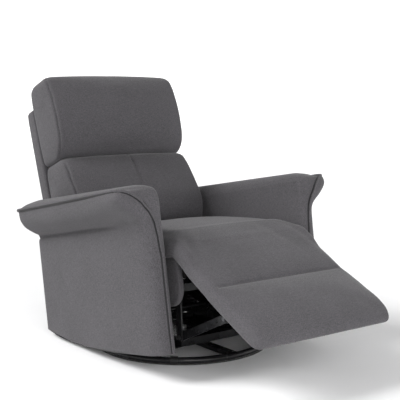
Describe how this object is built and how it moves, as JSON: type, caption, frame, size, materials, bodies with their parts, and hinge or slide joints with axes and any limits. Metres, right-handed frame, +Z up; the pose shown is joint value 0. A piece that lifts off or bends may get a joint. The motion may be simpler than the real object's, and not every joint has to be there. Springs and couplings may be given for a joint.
{
  "type": "swivel rocker recliner",
  "caption": "Upholstered reclining armchair that swivels and rocks on a steel floor ring, with rolled padded arms, split back cushions and a fold-out chaise footrest.",
  "frame": {"origin": "on the floor, on the swivel axis at the centre of the floor ring", "axes": "+Z up, the sitter faces -Y, +X to the sitter's left"},
  "size_m": [0.848, 1.3474, 0.9262],
  "materials": {
    "black_steel": "gloss",
    "bright_steel": "satin",
    "floor_rubber": "matte",
    "black_plastic": "matte",
    "frame_wood": "matte",
    "covered_board": "matte",
    "grey_cloth": "matte"
  },
  "bodies": {
    "base": {"base_ring": "black_steel", "floor_strip": "floor_rubber", "ring_clips": "black_plastic", "base_spokes": "black_steel", "hub_plate": "black_steel", "swivel_lower_race": "bright_steel", "swivel_balls": "bright_steel", "swivel_bolt": "bright_steel", "swivel_nut": "bright_steel"},
    "carrier": {"swivel_plate": "black_steel", "swivel_upper_race": "bright_steel", "rocker_side_tube_left": "black_steel", "rocker_side_tube_right": "black_steel", "rocker_cross_bars": "black_steel", "bearing_brackets": "black_steel", "rocker_springs_front": "bright_steel", "rocker_springs_rear": "bright_steel"},
    "seat": {"seat_cross_tubes": "black_steel", "rocker_shaft": "bright_steel", "rocker_hanger_left": "black_steel", "rocker_hanger_right": "black_steel", "arm_spacers": "frame_wood", "arm_screws": "bright_steel", "seat_side_board_left": "covered_board", "seat_side_board_right": "covered_board", "seat_rail_front": "frame_wood", "seat_rail_rear": "frame_wood", "mechanism_plate_left": "black_steel", "mechanism_plate_right": "black_steel", "seat_springs": "bright_steel", "arm_left": "grey_cloth", "arm_right": "grey_cloth", "release_bezel": "black_plastic", "release_pin": "bright_steel", "seat_cushion": "grey_cloth", "calf_pad": "grey_cloth", "back_hinge_pins": "bright_steel"},
    "paddle": {"release_paddle": "black_plastic"},
    "footrest": {"footrest_pad": "grey_cloth", "footrest_board": "frame_wood", "footrest_bracket_left": "black_steel", "footrest_bracket_right": "black_steel", "footrest_pins": "bright_steel"},
    "rear_links": {"footrest_rear_link_left": "black_steel", "footrest_rear_link_right": "black_steel", "link_pins": "bright_steel", "torque_tube": "bright_steel"},
    "front_links": {"footrest_front_link_left": "black_steel", "footrest_front_link_right": "black_steel"},
    "back": {"back_post_left": "frame_wood", "back_post_right": "frame_wood", "back_rail_bottom": "frame_wood", "back_rail_middle": "frame_wood", "back_rail_top": "frame_wood", "back_hinge_plate_left": "black_steel", "back_hinge_plate_right": "black_steel", "back_shell": "grey_cloth", "lumbar_cushion": "grey_cloth", "head_cushion": "grey_cloth"}
  },
  "joints": [
    {"name": "swivel", "type": "hinge", "parent": "base", "child": "carrier", "pos_m": [0, 0, 0], "axis": [0, 0, 1], "continuous": true},
    {"name": "rock", "type": "hinge", "parent": "carrier", "child": "seat", "pos_m": [0, 0.04, 0.105], "axis": [1, 0, 0], "range_deg": [-3, 12], "stiffness_Nm_per_rad": 600, "springref_deg": 1.97, "deforming": ["rocker_springs_front", "rocker_springs_rear"]},
    {"name": "recline", "type": "hinge", "parent": "seat", "child": "back", "pos_m": [0, 0.32958, 0.23079], "axis": [-1, 0, 0], "range_deg": [0, 35]},
    {"name": "footrest_fold", "type": "hinge", "parent": "seat", "child": "footrest", "pos_m": [0, -0.50226, 0.41855], "axis": [-1, 0, 0], "range_deg": [-54, 0], "deforming": ["calf_pad"]},
    {"name": "rear_link_swing", "type": "hinge", "parent": "seat", "child": "rear_links", "pos_m": [0, -0.29259, 0.31946], "axis": [-1, 0, 0], "range_deg": [-54, 0]},
    {"name": "front_link_swing", "type": "hinge", "parent": "rear_links", "child": "front_links", "pos_m": [0, -0.3049, 0.11449], "axis": [-1, 0, 0], "range_deg": [0, 54]},
    {"name": "paddle_pull", "type": "hinge", "parent": "seat", "child": "paddle", "pos_m": [-0.29, -0.11345, 0.48307], "axis": [0, -0.1788, -0.9839], "range_deg": [0, 28], "stiffness_Nm_per_rad": 0.15, "springref_deg": -5.73}
  ],
  "couplings": [
    {"joint": "rear_link_swing", "follows": "footrest_fold", "ratio": 1},
    {"joint": "front_link_swing", "follows": "footrest_fold", "ratio": -1}
  ]
}
